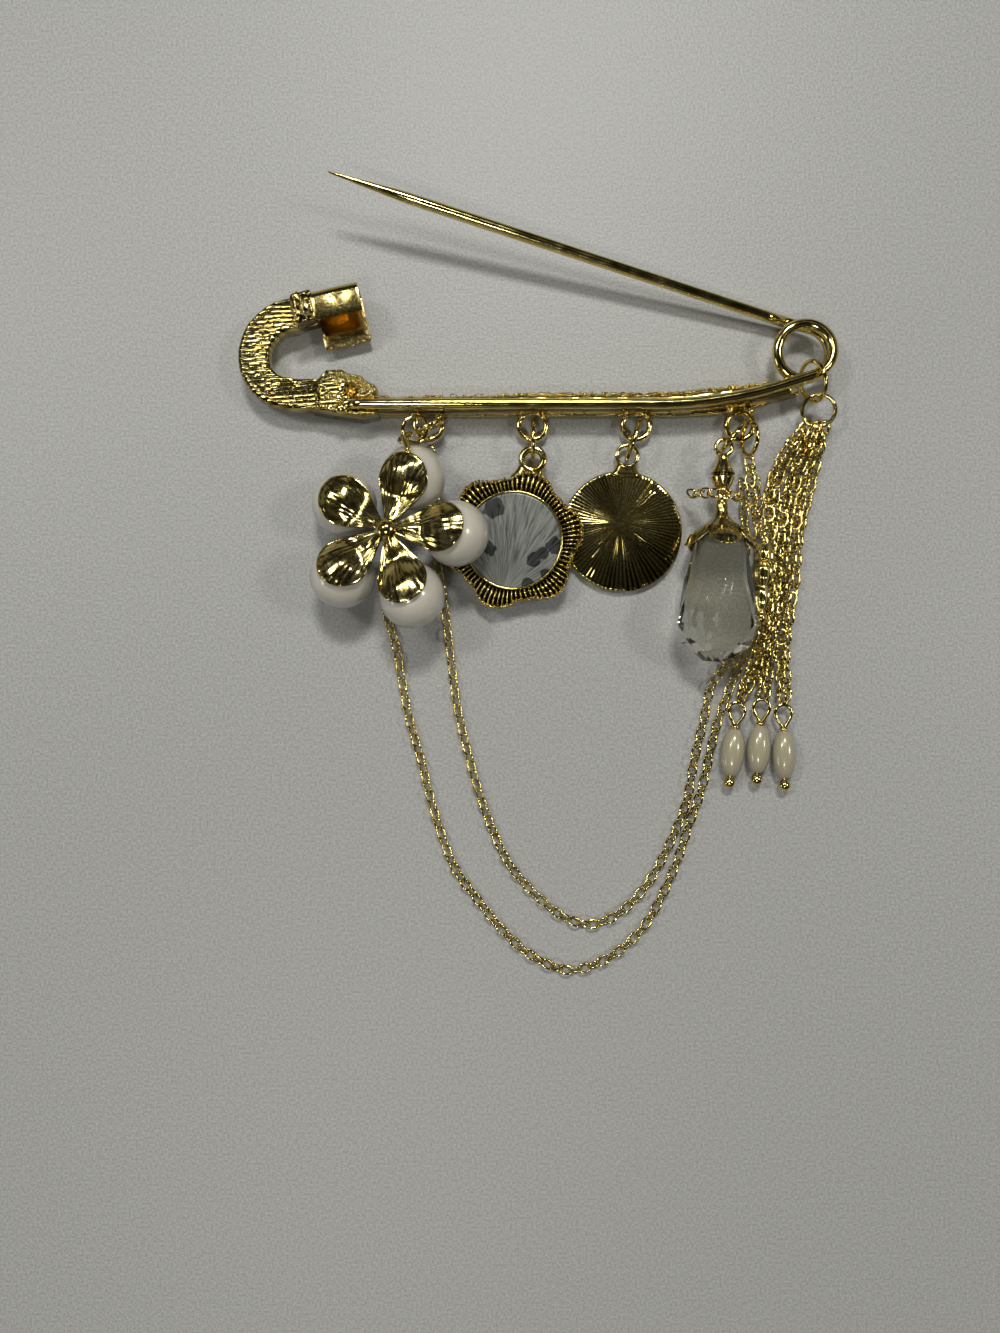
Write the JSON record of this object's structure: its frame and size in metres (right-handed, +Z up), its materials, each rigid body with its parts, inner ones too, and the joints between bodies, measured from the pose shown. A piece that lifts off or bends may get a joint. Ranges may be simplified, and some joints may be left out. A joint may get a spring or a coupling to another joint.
{
  "type": "safety pin brooch",
  "caption": "Safety pin brooch lying open on its face, hung with a pearl flower, a medallion, a clear drop, chain swags and a pearl tassel.",
  "frame": {"origin": "middle of the brooch's outline, on the surface that it lies on", "axes": "+Y from the lowest point of the chains to the needle's tip, +Z up, out of the back of the brooch"},
  "size_m": [0.0748, 0.0986, 0.0126],
  "materials": {
    "cast_gold": "gold-plated casting",
    "spring_wire": "polished gold-plated spring wire",
    "gold_wire": "polished gold-plated wire",
    "round_pearl": "pearlescent coated ABS",
    "rice_pearl": "pearlescent coated ABS",
    "clear_acrylic": "faceted clear acrylic",
    "clear_resin": "clear resin with brushed glue on its back"
  },
  "bodies": {
    "frame": {"pin_frame": "cast_gold", "flower_back": "cast_gold", "flower_pearl_1": "round_pearl", "flower_pearl_2": "round_pearl", "flower_pearl_3": "round_pearl", "flower_pearl_4": "round_pearl", "flower_pearl_5": "round_pearl", "medallion_frame": "cast_gold", "medallion_window": "clear_resin", "disc_charm": "cast_gold", "drop_cap": "cast_gold", "crystal_drop": "clear_acrylic", "lantern_charm": "cast_gold", "flower_ring_1": "gold_wire", "flower_ring_2": "gold_wire", "medallion_ring": "gold_wire", "disc_ring": "gold_wire", "drop_ring": "gold_wire", "chain_ring": "gold_wire", "tassel_ring_1": "gold_wire", "tassel_ring_2": "gold_wire", "outer_swag_chain": "gold_wire", "inner_swag_chain": "gold_wire", "tassel_chain_1": "gold_wire", "tassel_chain_2": "gold_wire", "tassel_chain_3": "gold_wire", "lantern_chain": "gold_wire", "neck_chain": "gold_wire", "eye_pin_1": "gold_wire", "eye_pin_2": "gold_wire", "eye_pin_3": "gold_wire", "rice_pearl_1": "rice_pearl", "rice_pearl_2": "rice_pearl", "rice_pearl_3": "rice_pearl"},
    "coil": {"coil_turn": "spring_wire"},
    "needle": {"needle": "spring_wire"}
  },
  "joints": [
    {"name": "needle_swing", "type": "hinge", "parent": "frame", "child": "coil", "pos_m": [0.03335, 0.02896, 0.00228], "axis": [0, 0, 1], "range_deg": [0, 18.5], "stiffness_Nm_per_rad": 0.03},
    {"name": "needle_lift", "type": "hinge", "parent": "coil", "child": "needle", "pos_m": [0.03121, 0.03304, 0.00176], "axis": [0.2756, 0.9613, 0], "range_deg": [-4.5, 0], "stiffness_Nm_per_rad": 0.03}
  ]
}
